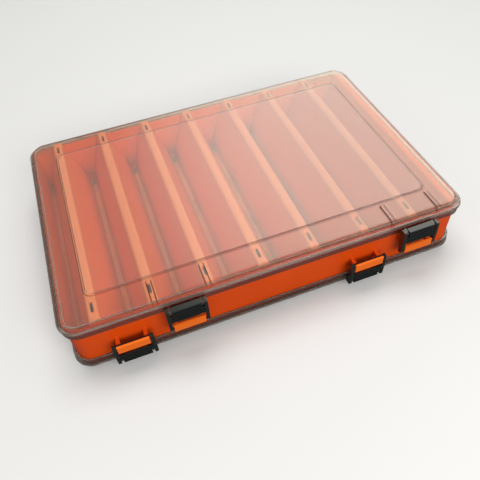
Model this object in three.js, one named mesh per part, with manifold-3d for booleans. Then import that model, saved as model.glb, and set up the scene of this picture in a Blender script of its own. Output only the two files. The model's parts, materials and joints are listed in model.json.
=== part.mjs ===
// A double-sided lure box: one wavy tray, a clear lid above and below it, and four snap latches.
//
// The tray's floor is a single sheet folded into a wave. Its upper folds are the dividers of the top
// side and the floors of the bottom side, and the other way round. Half a turn about the Y axis maps
// the box onto itself, so the lower half is the upper half turned round.
//
// Units are millimetres. X runs along the box, -Y is the latch side, +Y is the hinge side, +Z is up.
// The origin lies under the middle of the box, on the plane that it rests on.

import * as THREE from 'three';
import { mergeVertices } from 'three/addons/utils/BufferGeometryUtils.js';
import Module from 'manifold-3d';

// Overall size: length and width over the lids' rims, height over their raised panels
const boxLength = 270;
const boxWidth = 181;
const boxHeight = 47;
const rimCornerRadius = 12.5;

// Lid shell: a flat plate with a round edge, a short side wall, a rim and a skirt
const lidWall = 1.5;
const lidDepth = 10;
const lidEdgeRadius = 2;
const rimStandout = 3.4;
const rimDrop = 3.2;
const beadRadius = 1.2;
const skirtSetBack = 0.7;
const skirtWall = 1.3;
const skirtChamfer = 0.4;

// Raised panel in each lid's plate
const panelLength = 231.2;
const panelWidth = 138;
const panelCornerRadius = 5;
const panelRise = 0.8;
const panelSlopeRun = 0.9;

// Low ribs over the lid's front edge, one on each side of a latch
const edgeRibWidth = 3;
const edgeRibHeight = 0.6;
const edgeRibLength = 15.6;
const edgeRibFromLatchCentre = 16.6;

// Tray wall
const trayInset = 2.8;
const trayWall = 1.8;
const trayEdgeChamfer = 0.4;
const seatGap = 0.3;

// Wavy sheet inside the tray
const pitchCount = 7.5;
const ridgeCount = 7;
const sheetWall = 1.6;
const ridgeMeanWidth = 4.8;
const ridgeHeadroom = 0.5;
const ridgeEndGap = 0.4;
const foldRadius = 1;

// Drain slots through the ridges, near both of their ends
const slotWidth = 1.8;
const slotLength = 7.6;
const slotFromWall = 9.6;

// Latches: where they sit, counted from the box's ends to the latch's middle
const leftLatchFromEnd = 73.8;
const rightLatchFromEnd = 38;
const latchWidth = 25.6;
const latchCheek = 2.1;
const latchNotch = 1.6;
const latchReach = 16.9;
const latchRail = 1.1;
const latchRailDepth = 1.3;
const latchWindow = 8.2;
const latchFlare = 0.6;
const barrelAcrossFlats = 4.8;
const barrelBackChamfer = 1.1;
const barrelFrontChamfer = 0.35;
const plateBack = 0.4;
const cheekTaper = 2.2;
const cheekFrontRadius = 2.4;
const cheekBackRadius = 0.5;
const gripRibCount = 4;
const gripRibPitch = 2.2;
const gripRibWidth = 1;
const gripRibHeight = 0.4;

// Latch pins and the lid's ears that hold them
const latchPinOut = 2.9;
const latchPinDepth = 7.3;
const latchPinRadius = 0.8;
const latchPinPlay = 0.1;
const latchPinEndInset = 0.4;
const latchEarWall = 1;
const latchEarNose = 1.9;

// Catches on the tray, which the latches snap over
const catchWidth = 20;
const catchPlate = 1.2;
const catchOut = 6.2;
const catchHeight = 6.6;
const catchChamfer = 0.8;
const catchOverRail = 1.6;
const catchWebOffset = 8.6;
const catchWebAtWall = 2;
const catchWebAtPlate = 2.8;

// Hinges on the back: tray knuckle in the middle, one lid ear on each side, a pin through all three
const hingeFromEnd = 50;
const hingePinOut = 3.4;
const hingePinDepth = 9.5;
const hingeNose = 2.8;
const hingePinRadius = 1.2;
const hingePinPlay = 0.1;
const hingePinEndInset = 0.4;
const knuckleWidth = 16;
const hingeEarWidth = 5;
const hingeSideGap = 0.4;
const hingeNotchGap = 0.5;
const knuckleGussetDrop = 4;

// How far a cutter runs past what it cuts
const overrun = 1;

// Facets
const cornerSteps = 6;
const edgeSteps = 3;
const beadSteps = 3;
const foldSteps = 2;
const slotSteps = 4;
const noseSteps = 8;
const pinSides = 16;

// Worked out from the sizes above. Heights are counted from the box's middle plane.
const halfLength = boxLength / 2;
const halfWidth = boxWidth / 2;
const halfHeight = boxHeight / 2;
const lidTop = halfHeight - panelRise;
const rimTop = lidTop - rimDrop;
const sideWallInset = rimStandout + lidWall;
const skirtInnerInset = skirtSetBack + skirtWall;
const skirtMiddleInset = skirtSetBack + skirtWall / 2;
const trayHalfHeight = lidTop - rimDrop - lidWall - seatGap;
const ridgeTop = lidTop - lidWall - ridgeHeadroom;
const trayInnerInset = trayInset + trayWall;
const sheetEndInset = sideWallInset + ridgeEndGap;
const innerLength = boxLength - 2 * trayInnerInset;
const pitch = innerLength / pitchCount;
const halfRidgeMean = ridgeMeanWidth / 2;
const sheetLean = Math.atan2(pitch / 2 - ridgeMeanWidth, 2 * ridgeTop - sheetWall);
const foldShift = (sheetWall * Math.tan(Math.PI / 4 - sheetLean / 2)) / 2;
const slotCentreY = halfWidth - trayInnerInset - slotFromWall;
const topLatchCentres = [leftLatchFromEnd - halfLength, halfLength - rightLatchFromEnd];
const hingeCentres = [hingeFromEnd - halfLength, halfLength - hingeFromEnd];
const ridgeCentres = Array.from({ length: ridgeCount }, (_, i) => (i + 0.5) * pitch - innerLength / 2);
const latchPinHeight = lidTop - latchPinDepth;
const hingePinHeight = lidTop - hingePinDepth;
const barrelWidth = latchWidth - 2 * (latchCheek + latchNotch);
const earOffset = (barrelWidth + latchNotch) / 2;
const barrelHalf = barrelAcrossFlats / 2;
const windowBottom = latchRail - latchReach;
const windowTop = windowBottom + latchWindow;
const railTop = latchPinHeight + windowBottom;
const catchTip = railTop - catchOverRail;
const hingeEarOffset = knuckleWidth / 2 + hingeSideGap + hingeEarWidth / 2;
const hingeWidth = knuckleWidth + 2 * (hingeSideGap + hingeEarWidth);

const wasm = await Module();
wasm.setup();

// Materials
const orangePlastic = new THREE.MeshStandardMaterial({ color: 0xd9480f, roughness: 0.42, metalness: 0 });
const clearPlastic = new THREE.MeshStandardMaterial({
  color: 0xb9a49c,
  roughness: 0.12,
  metalness: 0,
  transparent: true,
  opacity: 0.35,
});
const blackPlastic = new THREE.MeshStandardMaterial({ color: 0x1b1f1e, roughness: 0.38, metalness: 0 });
const steel = new THREE.MeshStandardMaterial({ color: 0xb4b6b8, roughness: 0.3, metalness: 1 });

// Solids: geometry in, geometry out, with the joins and cuts between
function toSolid(geometry) {
  const bare = geometry.clone();
  bare.deleteAttribute('normal');
  bare.deleteAttribute('uv');
  const merged = mergeVertices(bare);
  return new wasm.Manifold(
    new wasm.Mesh({
      numProp: 3,
      vertProperties: new Float32Array(merged.attributes.position.array),
      triVerts: new Uint32Array(merged.index.array),
    }),
  );
}

function toGeometry(solid) {
  const mesh = solid.getMesh();
  const geometry = new THREE.BufferGeometry();
  geometry.setAttribute('position', new THREE.BufferAttribute(new Float32Array(mesh.vertProperties), 3));
  geometry.setIndex(new THREE.BufferAttribute(new Uint32Array(mesh.triVerts), 1));
  const faceted = geometry.toNonIndexed();
  faceted.computeVertexNormals();
  return faceted;
}

function join(geometries) {
  return geometries.map(toSolid).reduce((whole, next) => whole.add(next));
}

function cut(solid, geometries) {
  return geometries.reduce((rest, geometry) => rest.subtract(toSolid(geometry)), solid);
}

// The same geometry for the lower half of the box
function turnedOver(geometry) {
  return geometry.clone().rotateY(Math.PI);
}

// Rounded rectangle as a ring of points, counted anticlockwise from above
function ring(halfX, halfY, radius, z) {
  const points = [];
  const corners = [
    [1, 1],
    [-1, 1],
    [-1, -1],
    [1, -1],
  ];
  corners.forEach(([signX, signY], corner) => {
    for (let step = 0; step <= cornerSteps; step += 1) {
      const angle = (corner + step / cornerSteps) * (Math.PI / 2);
      points.push(
        new THREE.Vector3(
          signX * (halfX - radius) + radius * Math.cos(angle),
          signY * (halfY - radius) + radius * Math.sin(angle),
          z,
        ),
      );
    }
  });
  return points;
}

// A ring that follows the box's outline, moved in by an inset
function outlineRing(inset, z) {
  return ring(halfLength - inset, halfWidth - inset, rimCornerRadius - inset, z);
}

// A ring that follows the raised panel's outline, moved out by an offset
function panelRing(offset, z) {
  return ring(panelLength / 2 + offset, panelWidth / 2 + offset, panelCornerRadius + offset, z);
}

// Skin over a row of rings. It closes on itself, or on a middle point at each end.
function loft(rings, closesOnItself) {
  const count = rings[0].length;
  const positions = rings.flat().flatMap((point) => point.toArray());
  const index = [];
  const bands = closesOnItself ? rings.length : rings.length - 1;
  for (let band = 0; band < bands; band += 1) {
    const here = band * count;
    const there = ((band + 1) % rings.length) * count;
    for (let i = 0; i < count; i += 1) {
      const next = (i + 1) % count;
      index.push(here + i, there + i, there + next);
      index.push(here + i, there + next, here + next);
    }
  }
  if (!closesOnItself) {
    const last = (rings.length - 1) * count;
    const firstMiddle = rings.length * count;
    positions.push(0, 0, rings[0][0].z, 0, 0, rings[rings.length - 1][0].z);
    for (let i = 0; i < count; i += 1) {
      const next = (i + 1) % count;
      index.push(firstMiddle, i, next);
      index.push(firstMiddle + 1, last + next, last + i);
    }
  }
  const geometry = new THREE.BufferGeometry();
  geometry.setAttribute('position', new THREE.Float32BufferAttribute(positions, 3));
  geometry.setIndex(index);
  return geometry;
}

// Side profile, given as points (distance outwards from the rim, height), extruded along X.
// side is -1 on the latch side and 1 on the hinge side.
function extrudeAlongX(shape, width, side) {
  const geometry = new THREE.ExtrudeGeometry(shape, {
    depth: width,
    bevelEnabled: false,
    curveSegments: noseSteps,
  });
  geometry.translate(0, 0, -width / 2);
  const outwards = new THREE.Vector3(0, side, 0);
  const up = new THREE.Vector3(0, 0, 1);
  const along = new THREE.Vector3().crossVectors(outwards, up);
  geometry.applyMatrix4(new THREE.Matrix4().makeBasis(outwards, up, along));
  return geometry.translate(0, side * halfWidth, 0);
}

function polygon(points) {
  return new THREE.Shape(points.map(([x, y]) => new THREE.Vector2(x, y)));
}

// Straight round bar along X, its sides turned so that a flat lies on top
function barAlongX(radius, length) {
  const bar = new THREE.CylinderGeometry(radius, radius, length, pinSides);
  bar.rotateY(Math.PI / pinSides);
  return bar.rotateZ(Math.PI / 2);
}

// Latch pin's axis on the front, and hinge pin's axis on the back
function atLatchPin(geometry, x) {
  return geometry.translate(x, -halfWidth - latchPinOut, latchPinHeight);
}

function atHingePin(geometry, x) {
  return geometry.translate(x, halfWidth + hingePinOut, hingePinHeight);
}

// Angles round the bead: from its top to its outermost line, and on to the face of the skirt
function beadAngles() {
  const quarter = Math.PI / 2;
  const underside = Math.acos(1 - skirtSetBack / beadRadius);
  const angles = [0];
  for (let step = 1; step <= beadSteps; step += 1) {
    angles.push((step / beadSteps) * quarter);
  }
  for (let step = 1; step <= beadSteps; step += 1) {
    angles.push(quarter + (step / beadSteps) * underside);
  }
  return angles;
}

// Lid, drawn as the upper one
function lidShell() {
  const rings = [panelRing(-panelSlopeRun, halfHeight), panelRing(0, lidTop)];
  for (let step = 0; step <= edgeSteps; step += 1) {
    const angle = (step / edgeSteps) * (Math.PI / 2);
    const inset = rimStandout + lidEdgeRadius * (1 - Math.sin(angle));
    rings.push(outlineRing(inset, lidTop - lidEdgeRadius * (1 - Math.cos(angle))));
  }
  rings.push(outlineRing(rimStandout, rimTop));
  for (const angle of beadAngles()) {
    const drop = beadRadius * (1 - Math.cos(angle));
    rings.push(outlineRing(beadRadius * (1 - Math.sin(angle)), rimTop - drop));
  }
  const skirtEnd = lidTop - lidDepth;
  const innerEdge = lidEdgeRadius / 2;
  const panelShift = panelRise - panelSlopeRun;
  rings.push(outlineRing(skirtSetBack, skirtEnd + skirtChamfer));
  rings.push(outlineRing(skirtSetBack + skirtChamfer, skirtEnd));
  rings.push(outlineRing(skirtInnerInset, skirtEnd));
  rings.push(outlineRing(skirtInnerInset, rimTop - lidWall));
  rings.push(outlineRing(sideWallInset, rimTop - lidWall));
  rings.push(outlineRing(sideWallInset, lidTop - lidWall - innerEdge));
  rings.push(outlineRing(sideWallInset + innerEdge, lidTop - lidWall));
  rings.push(panelRing(panelShift - panelSlopeRun / 2, lidTop - lidWall));
  rings.push(panelRing(panelShift - (3 * panelSlopeRun) / 2, halfHeight - lidWall));
  return loft(rings, false);
}

// Rib that follows the plate's round edge, from the plate down to the rim. Its inner side lies
// inside the lid's wall.
function edgeRib() {
  const depth = lidWall / 2;
  const wallFace = -rimStandout;
  const start = wallFace - edgeRibLength;
  const points = [
    [wallFace - lidEdgeRadius, lidTop - depth],
    [start, lidTop - depth],
    [start, lidTop],
    [start + edgeRibHeight, lidTop + edgeRibHeight],
  ];
  for (let step = 0; step <= edgeSteps; step += 1) {
    const angle = (step / edgeSteps) * (Math.PI / 2);
    const radius = lidEdgeRadius + edgeRibHeight;
    const out = wallFace - lidEdgeRadius + radius * Math.sin(angle);
    points.push([out, lidTop - lidEdgeRadius + radius * Math.cos(angle)]);
  }
  points.push([wallFace + edgeRibHeight, rimTop - depth]);
  points.push([wallFace - depth, rimTop - depth]);
  points.push([wallFace - depth, lidTop - lidEdgeRadius]);
  return extrudeAlongX(polygon(points), edgeRibWidth, -1);
}

// Ear on the lid's skirt that holds one end of a latch's pin
function latchEar() {
  const shape = new THREE.Shape();
  shape.moveTo(-skirtMiddleInset, latchPinHeight - latchEarNose);
  shape.lineTo(latchPinOut, latchPinHeight - latchEarNose);
  shape.absarc(latchPinOut, latchPinHeight, latchEarNose, -Math.PI / 2, Math.PI / 2, false);
  shape.lineTo(-skirtMiddleInset, latchPinHeight + latchEarNose);
  return extrudeAlongX(shape, latchEarWall, -1);
}

// Ear on the lid's skirt that turns on a hinge pin
function hingeEar() {
  const rootTop = rimTop - 2 * beadRadius;
  const rootBottom = lidTop - lidDepth;
  const shape = new THREE.Shape();
  shape.moveTo(-skirtMiddleInset, rootBottom);
  shape.lineTo(0, rootBottom);
  shape.absarc(hingePinOut, hingePinHeight, hingeNose, -Math.PI * 0.7, Math.PI / 3, false);
  shape.lineTo(0, rootTop);
  shape.lineTo(-skirtMiddleInset, rootTop);
  return extrudeAlongX(shape, hingeEarWidth, 1);
}

// Room in the lid's skirt for the tray's hinge knuckle
function knuckleNotch() {
  const bottom = lidTop - lidDepth - overrun;
  const top = hingePinHeight + hingeNose + hingeNotchGap;
  const points = [
    [-skirtInnerInset - overrun, bottom],
    [overrun, bottom],
    [overrun, top],
    [-skirtInnerInset - overrun, top],
  ];
  return extrudeAlongX(polygon(points), knuckleWidth + 2 * hingeNotchGap, 1);
}

function lidGeometry() {
  const parts = [lidShell()];
  const cutters = [];
  for (const x of topLatchCentres) {
    for (const side of [-1, 1]) {
      parts.push(latchEar().translate(x + side * earOffset, 0, 0));
      parts.push(edgeRib().translate(x + side * edgeRibFromLatchCentre, 0, 0));
    }
    cutters.push(atLatchPin(barAlongX(latchPinRadius + latchPinPlay, latchWidth), x));
  }
  for (const x of hingeCentres) {
    for (const side of [-1, 1]) {
      parts.push(hingeEar().translate(x + side * hingeEarOffset, 0, 0));
    }
    cutters.push(knuckleNotch().translate(x, 0, 0));
    cutters.push(atHingePin(barAlongX(hingePinRadius + hingePinPlay, hingeWidth + overrun), x));
  }
  return toGeometry(cut(join(parts), cutters));
}

// Tray wall, open above and below
function trayWallRing() {
  const top = trayHalfHeight;
  const edge = trayEdgeChamfer;
  return loft(
    [
      outlineRing(trayInnerInset, top),
      outlineRing(trayInset + edge, top),
      outlineRing(trayInset, top - edge),
      outlineRing(trayInset, edge - top),
      outlineRing(trayInset + edge, -top),
      outlineRing(trayInnerInset, -top),
    ],
    true,
  );
}

// Rounds the corners of an open outline
function roundCorners(points, radius) {
  const rounded = [points[0]];
  for (let i = 1; i < points.length - 1; i += 1) {
    const corner = points[i];
    const before = points[i - 1].clone().sub(corner).normalize();
    const after = points[i + 1].clone().sub(corner).normalize();
    const halfOpening = Math.acos(before.dot(after)) / 2;
    const tangent = radius / Math.tan(halfOpening);
    const from = corner.clone().addScaledVector(before, tangent);
    const to = corner.clone().addScaledVector(after, tangent);
    const curve = new THREE.QuadraticBezierCurve(from, corner, to);
    rounded.push(...curve.getPoints(foldSteps));
  }
  rounded.push(points[points.length - 1]);
  return rounded;
}

// Upper line of the wavy sheet, from the left wall to the right wall
function sheetUpperLine() {
  const ridgeHalf = halfRidgeMean + foldShift;
  const valleyHalf = halfRidgeMean - foldShift;
  const floor = sheetWall - ridgeTop;
  const run = Math.tan(sheetLean);
  const wallMiddle = innerLength / 2 + trayWall / 2;
  const ledge = sheetWall - trayHalfHeight;
  const points = [new THREE.Vector2(-wallMiddle, ledge)];
  points.push(new THREE.Vector2(valleyHalf - innerLength / 2 + (ledge - floor) * run, ledge));
  for (const ridgeX of ridgeCentres) {
    const valleyX = ridgeX + pitch / 2;
    points.push(new THREE.Vector2(ridgeX - ridgeHalf, ridgeTop));
    points.push(new THREE.Vector2(ridgeX + ridgeHalf, ridgeTop));
    points.push(new THREE.Vector2(valleyX - valleyHalf, floor));
    points.push(new THREE.Vector2(valleyX + valleyHalf, floor));
  }
  const shelfStart = innerLength / 2 - ridgeHalf - (ridgeTop - trayHalfHeight) * run;
  points.push(new THREE.Vector2(shelfStart, trayHalfHeight));
  points.push(new THREE.Vector2(wallMiddle, trayHalfHeight));
  return roundCorners(points, foldRadius);
}

// The sheet's lower line is its upper line turned half a turn about the Y axis
function wavySheet() {
  const upper = sheetUpperLine();
  const lower = upper.map((point) => point.clone().negate());
  const shape = new THREE.Shape([...upper, ...lower]);
  const sheet = new THREE.ExtrudeGeometry(shape, { depth: boxWidth, bevelEnabled: false });
  return sheet.translate(0, 0, -halfWidth).rotateX(Math.PI / 2);
}

// Stop that closes one upper fold at its end, where the fold stands above the tray's wall
function foldEndStop() {
  const inside = ridgeTop - sheetWall;
  const start = halfWidth - sheetEndInset - sheetWall;
  const halfAt = (height) => halfRidgeMean + (ridgeTop - sheetWall / 2 - height) * Math.tan(sheetLean);
  const low = trayHalfHeight - sheetWall;
  const high = inside + sheetWall / 2;
  const stop = new THREE.ExtrudeGeometry(
    polygon([
      [-halfAt(low), low],
      [halfAt(low), low],
      [halfAt(high), high],
      [-halfAt(high), high],
    ]),
    { depth: halfWidth - trayInset - trayWall / 2 - start, bevelEnabled: false },
  );
  return stop.rotateX(Math.PI / 2).translate(0, halfWidth - trayInset - trayWall / 2, 0);
}

// Space that the sheet may fill: up to the inner face of the tray's wall, and clear of the lids' walls
function sheetSpace() {
  const high = ridgeTop + foldRadius;
  const low = ridgeTop - foldRadius;
  return loft(
    [
      outlineRing(sheetEndInset + 2 * foldRadius, high),
      outlineRing(sheetEndInset, low),
      outlineRing(sheetEndInset, trayHalfHeight),
      outlineRing(trayInnerInset, trayHalfHeight),
      outlineRing(trayInnerInset, -trayHalfHeight),
      outlineRing(sheetEndInset, -trayHalfHeight),
      outlineRing(sheetEndInset, -low),
      outlineRing(sheetEndInset + 2 * foldRadius, -high),
    ],
    false,
  );
}

// Slot with round ends, as long as it is along Y
function drainSlot() {
  const radius = slotWidth / 2;
  const straight = slotLength / 2 - radius;
  const shape = new THREE.Shape();
  shape.absarc(0, straight, radius, 0, Math.PI, false);
  shape.absarc(0, -straight, radius, Math.PI, 2 * Math.PI, false);
  const slot = new THREE.ExtrudeGeometry(shape, {
    depth: sheetWall + 2 * overrun,
    bevelEnabled: false,
    curveSegments: slotSteps,
  });
  return slot.translate(0, 0, ridgeTop - sheetWall - overrun);
}

// Catch for an upper latch: a plate held away from the wall by two webs
function catchParts() {
  const back = catchOut - catchPlate;
  const top = catchTip + catchHeight;
  const plate = polygon([
    [back, catchTip],
    [catchOut - catchChamfer, catchTip],
    [catchOut, catchTip + catchChamfer],
    [catchOut, top],
    [back, top],
  ]);
  const web = polygon([
    [-catchWebAtWall / 2, trayInset + trayWall / 2],
    [catchWebAtWall / 2, trayInset + trayWall / 2],
    [catchWebAtPlate / 2, -back - catchPlate / 2],
    [-catchWebAtPlate / 2, -back - catchPlate / 2],
  ]);
  const webBottom = railTop + seatGap;
  const parts = [extrudeAlongX(plate, catchWidth, -1)];
  for (const side of [-1, 1]) {
    const depth = top - webBottom - catchChamfer;
    const geometry = new THREE.ExtrudeGeometry(web, { depth, bevelEnabled: false });
    parts.push(geometry.translate(side * catchWebOffset, -halfWidth, webBottom));
  }
  return parts;
}

// Knuckle on the tray's back wall for an upper hinge
function trayKnuckle() {
  const root = -trayInset - trayWall / 2;
  const shape = new THREE.Shape();
  shape.moveTo(root, hingePinHeight - hingeNose - knuckleGussetDrop);
  shape.lineTo(-trayInset, hingePinHeight - hingeNose - knuckleGussetDrop);
  shape.lineTo(hingePinOut, hingePinHeight - hingeNose);
  shape.absarc(hingePinOut, hingePinHeight, hingeNose, -Math.PI / 2, Math.PI / 2, false);
  shape.lineTo(root, hingePinHeight + hingeNose);
  return extrudeAlongX(shape, knuckleWidth, 1);
}

function foldEndStops() {
  const stops = [];
  for (const x of ridgeCentres) {
    stops.push(foldEndStop().translate(x, 0, 0));
    stops.push(foldEndStop().rotateZ(Math.PI).translate(x, 0, 0));
  }
  return [...stops, ...stops.map(turnedOver)];
}

function drainSlots() {
  const places = ridgeCentres.flatMap((x) => [-1, 1].map((side) => [x, side * slotCentreY]));
  const slots = places.map(([x, y]) => drainSlot().translate(x, y, 0));
  return [...slots, ...slots.map(turnedOver)];
}

function dividerSheetGeometry() {
  const sheet = join([wavySheet(), ...foldEndStops()]).intersect(toSolid(sheetSpace()));
  return toGeometry(cut(sheet, drainSlots()));
}

function trayWallGeometry() {
  const added = [];
  const cutters = [];
  for (const x of topLatchCentres) {
    added.push(...catchParts().map((part) => part.translate(x, 0, 0)));
  }
  for (const x of hingeCentres) {
    added.push(trayKnuckle().translate(x, 0, 0));
    cutters.push(atHingePin(barAlongX(hingePinRadius + hingePinPlay, hingeWidth), x));
  }
  const wall = join([trayWallRing(), ...added, ...added.map(turnedOver)]);
  return toGeometry(cut(wall, [...cutters, ...cutters.map(turnedOver)]));
}

// Latch, drawn closed, with its pin's axis as the origin
function latchProfileBlock(points, width) {
  return extrudeAlongX(polygon(points), width, -1).translate(0, halfWidth, 0);
}

// Where the latch's front is at a height. It flares outwards from the barrel's top to the window.
function latchFrontAt(up) {
  return barrelHalf + (latchFlare * (barrelHalf - up)) / (barrelHalf - windowTop);
}

// Upper back and upper front of the barrel and the cheeks
function latchTopPoints() {
  const frontEdge = barrelHalf - barrelFrontChamfer;
  return [
    [-barrelHalf, barrelHalf - barrelBackChamfer],
    [barrelBackChamfer - barrelHalf, barrelHalf],
    [frontEdge, barrelHalf],
    [latchFrontAt(frontEdge), frontEdge],
  ];
}

// The barrel's top edge stands out as far as the grip's ribs do
function barrelOutline() {
  const edgeBottom = barrelHalf - gripRibWidth;
  return [
    ...latchTopPoints(),
    [latchFrontAt(edgeBottom), edgeBottom],
    [latchFrontAt(edgeBottom) - gripRibHeight, edgeBottom - gripRibHeight / 2],
    [latchFrontAt(-barrelHalf) - gripRibHeight, -barrelHalf],
    [barrelBackChamfer - barrelHalf, -barrelHalf],
    [-barrelHalf, barrelBackChamfer - barrelHalf],
  ];
}

function latchCheekOutline() {
  const front = barrelHalf + latchFlare;
  const end = -latchReach;
  const back = cheekTaper - barrelHalf;
  const outline = [...latchTopPoints(), [front, windowTop]];
  for (let step = 0; step <= edgeSteps; step += 1) {
    const angle = (step / edgeSteps) * (Math.PI / 2);
    const out = front - cheekFrontRadius * (1 - Math.cos(angle));
    outline.push([out, end + cheekFrontRadius * (1 - Math.sin(angle))]);
  }
  outline.push([back + cheekBackRadius, end]);
  outline.push([back, end + cheekBackRadius]);
  outline.push([-barrelHalf, -barrelHalf]);
  return outline;
}

// One rib across the grip. Its foot lies inside the plate.
function gripRib(low, width) {
  const high = low + gripRibWidth;
  const slope = gripRibHeight / 2;
  const rib = [
    [latchFrontAt(low) - 2 * gripRibHeight, low],
    [latchFrontAt(low) - gripRibHeight, low],
    [latchFrontAt(low + slope), low + slope],
    [latchFrontAt(high - slope), high - slope],
    [latchFrontAt(high) - gripRibHeight, high],
    [latchFrontAt(high) - 2 * gripRibHeight, high],
  ];
  return latchProfileBlock(rib, width);
}

function latchGeometry() {
  const inside = latchWidth - 2 * latchCheek;
  const parts = [latchProfileBlock(barrelOutline(), barrelWidth)];
  const cheek = latchProfileBlock(latchCheekOutline(), latchCheek);
  for (const side of [-1, 1]) {
    parts.push(cheek.clone().translate((side * (latchWidth - latchCheek)) / 2, 0, 0));
  }
  const grip = (top) => [
    [plateBack, windowTop],
    [latchFrontAt(windowTop) - gripRibHeight, windowTop],
    [latchFrontAt(top) - gripRibHeight, top],
    [plateBack, top],
  ];
  const railFront = plateBack + latchRailDepth;
  const rail = [
    [plateBack, -latchReach],
    [railFront, -latchReach],
    [railFront, windowBottom],
    [plateBack, windowBottom],
  ];
  parts.push(latchProfileBlock(grip(-barrelHalf), inside + latchCheek));
  parts.push(latchProfileBlock(grip(0), barrelWidth));
  parts.push(latchProfileBlock(rail, inside + latchCheek));
  for (let i = 0; i < gripRibCount; i += 1) {
    const low = windowTop + i * gripRibPitch;
    parts.push(gripRib(low, low > -barrelHalf ? barrelWidth : inside));
  }
  const bore = barAlongX(latchPinRadius + latchPinPlay, latchWidth + overrun);
  return toGeometry(cut(join(parts), [bore]));
}

// Assembly
function addMesh(group, name, geometry, material, x, y, z) {
  const mesh = new THREE.Mesh(geometry, material.clone());
  mesh.name = name;
  mesh.position.set(x, y, z);
  group.add(mesh);
}

// One half of the box. prefix is top or bottom, and sides names the latches in order of rising X.
function halfBox(prefix, sides, shared) {
  const half = new THREE.Group();
  addMesh(half, `${prefix}_lid`, shared.lid, clearPlastic, 0, 0, 0);
  topLatchCentres.forEach((x, i) => {
    const y = -halfWidth - latchPinOut;
    addMesh(half, `${prefix}_latch_${sides[i]}`, shared.latch, blackPlastic, x, y, latchPinHeight);
    addMesh(half, `${prefix}_latch_pin_${sides[i]}`, shared.latchPin, steel, x, y, latchPinHeight);
  });
  hingeCentres.forEach((x, i) => {
    const y = halfWidth + hingePinOut;
    addMesh(half, `${prefix}_hinge_pin_${sides[i]}`, shared.hingePin, steel, x, y, hingePinHeight);
  });
  return half;
}

function lureBox() {
  const shared = {
    lid: lidGeometry(),
    latch: latchGeometry(),
    latchPin: barAlongX(latchPinRadius, latchWidth - 2 * latchPinEndInset),
    hingePin: barAlongX(hingePinRadius, hingeWidth - 2 * hingePinEndInset),
  };
  const box = new THREE.Group();
  box.position.z = halfHeight;
  addMesh(box, 'tray_wall', trayWallGeometry(), orangePlastic, 0, 0, 0);
  addMesh(box, 'divider_sheet', dividerSheetGeometry(), orangePlastic, 0, 0, 0);
  box.add(halfBox('top', ['left', 'right'], shared));
  const lower = halfBox('bottom', ['right', 'left'], shared);
  lower.rotation.y = Math.PI;
  box.add(lower);
  return box;
}

export default lureBox();
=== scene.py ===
# %% [markdown]
# # A two-sided lure box
#
# The box is one orange tray with a clear lid above and a clear lid below. The tray's floor is a
# single sheet folded into a wave, so its upper folds are the dividers of one side and the floors of
# the other. Four black latches on the front snap over catches on the tray, and two hinges at the
# back carry each lid.
#
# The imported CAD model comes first. It gives every piece its place, and its bodies say what moves.
# All that follows is modelled around it, in metres, with X along the box, -Y the latch side and Z up.

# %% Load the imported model
import json
import math

import bpy
from mathutils import Matrix, Vector


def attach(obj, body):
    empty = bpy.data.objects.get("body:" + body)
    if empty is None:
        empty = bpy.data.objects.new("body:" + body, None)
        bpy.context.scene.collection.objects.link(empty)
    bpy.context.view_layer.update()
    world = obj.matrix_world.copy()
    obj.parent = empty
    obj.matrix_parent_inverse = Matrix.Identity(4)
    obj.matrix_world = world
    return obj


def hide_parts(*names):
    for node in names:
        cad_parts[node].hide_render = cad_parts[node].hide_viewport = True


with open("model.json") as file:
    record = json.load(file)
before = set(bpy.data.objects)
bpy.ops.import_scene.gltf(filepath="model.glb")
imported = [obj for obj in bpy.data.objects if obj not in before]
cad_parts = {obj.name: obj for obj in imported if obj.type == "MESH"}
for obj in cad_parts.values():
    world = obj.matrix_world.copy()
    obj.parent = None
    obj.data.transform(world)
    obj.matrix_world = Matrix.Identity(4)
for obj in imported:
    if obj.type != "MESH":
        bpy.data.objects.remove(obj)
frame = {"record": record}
bpy.context.view_layer.update()

# %% [markdown]
# ## Sizes
#
# The sizes repeat those of the CAD model. Heights of the upper half are counted from the box's middle
# plane, because the lower half is the upper half turned by half a turn about the Y axis. That turn is
# written once, as a matrix, and every piece of the lower half is a turned copy.

# %% Sizes and the half turn
MM = 0.001
MIDDLE = 23.5 * MM
HALF_LENGTH = 135 * MM
HALF_WIDTH = 90.5 * MM
RIM_RADIUS = 12.5 * MM
LID_TOP = MIDDLE + 22.7 * MM
RIM_TOP = LID_TOP - 3.2 * MM
SKIRT_END = LID_TOP - 10 * MM
RIM_STANDOUT = 3.4 * MM
LID_WALL = 1.5 * MM
SKIRT_SET_BACK = 0.7 * MM
SKIRT_WALL = 1.3 * MM
TRAY_INSET = 2.8 * MM
TRAY_WALL = 1.8 * MM
TRAY_TOP = MIDDLE + 17.7 * MM
RIDGE_TOP = MIDDLE + 20.7 * MM
SHEET_WALL = 1.6 * MM
INNER_HALF = HALF_LENGTH - TRAY_INSET - TRAY_WALL
PITCH = 2 * INNER_HALF / 7.5
RIDGES = [(n + 0.5) * PITCH - INNER_HALF for n in range(7)]
LATCHES = {"left": -61.2 * MM, "right": 97.0 * MM}
HINGES = {"left": -85 * MM, "right": 85 * MM}
LATCH_PIN = (-HALF_WIDTH - 2.9 * MM, LID_TOP - 7.3 * MM)
HINGE_PIN = (HALF_WIDTH + 3.4 * MM, LID_TOP - 9.5 * MM)
HINGE_NOSE = 2.8 * MM
SOFT_EDGE = 0.2 * MM
OVERRUN = 1 * MM
SAME = 0.01 * MM
TURN_OVER = (
    Matrix.Translation((0, 0, MIDDLE))
    @ Matrix.Rotation(math.pi, 4, "Y")
    @ Matrix.Translation((0, 0, -MIDDLE))
)
OTHER_HAND = {"left": "right", "right": "left"}
print("ridges at", [round(x / MM, 1) for x in RIDGES], "mm")

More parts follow.
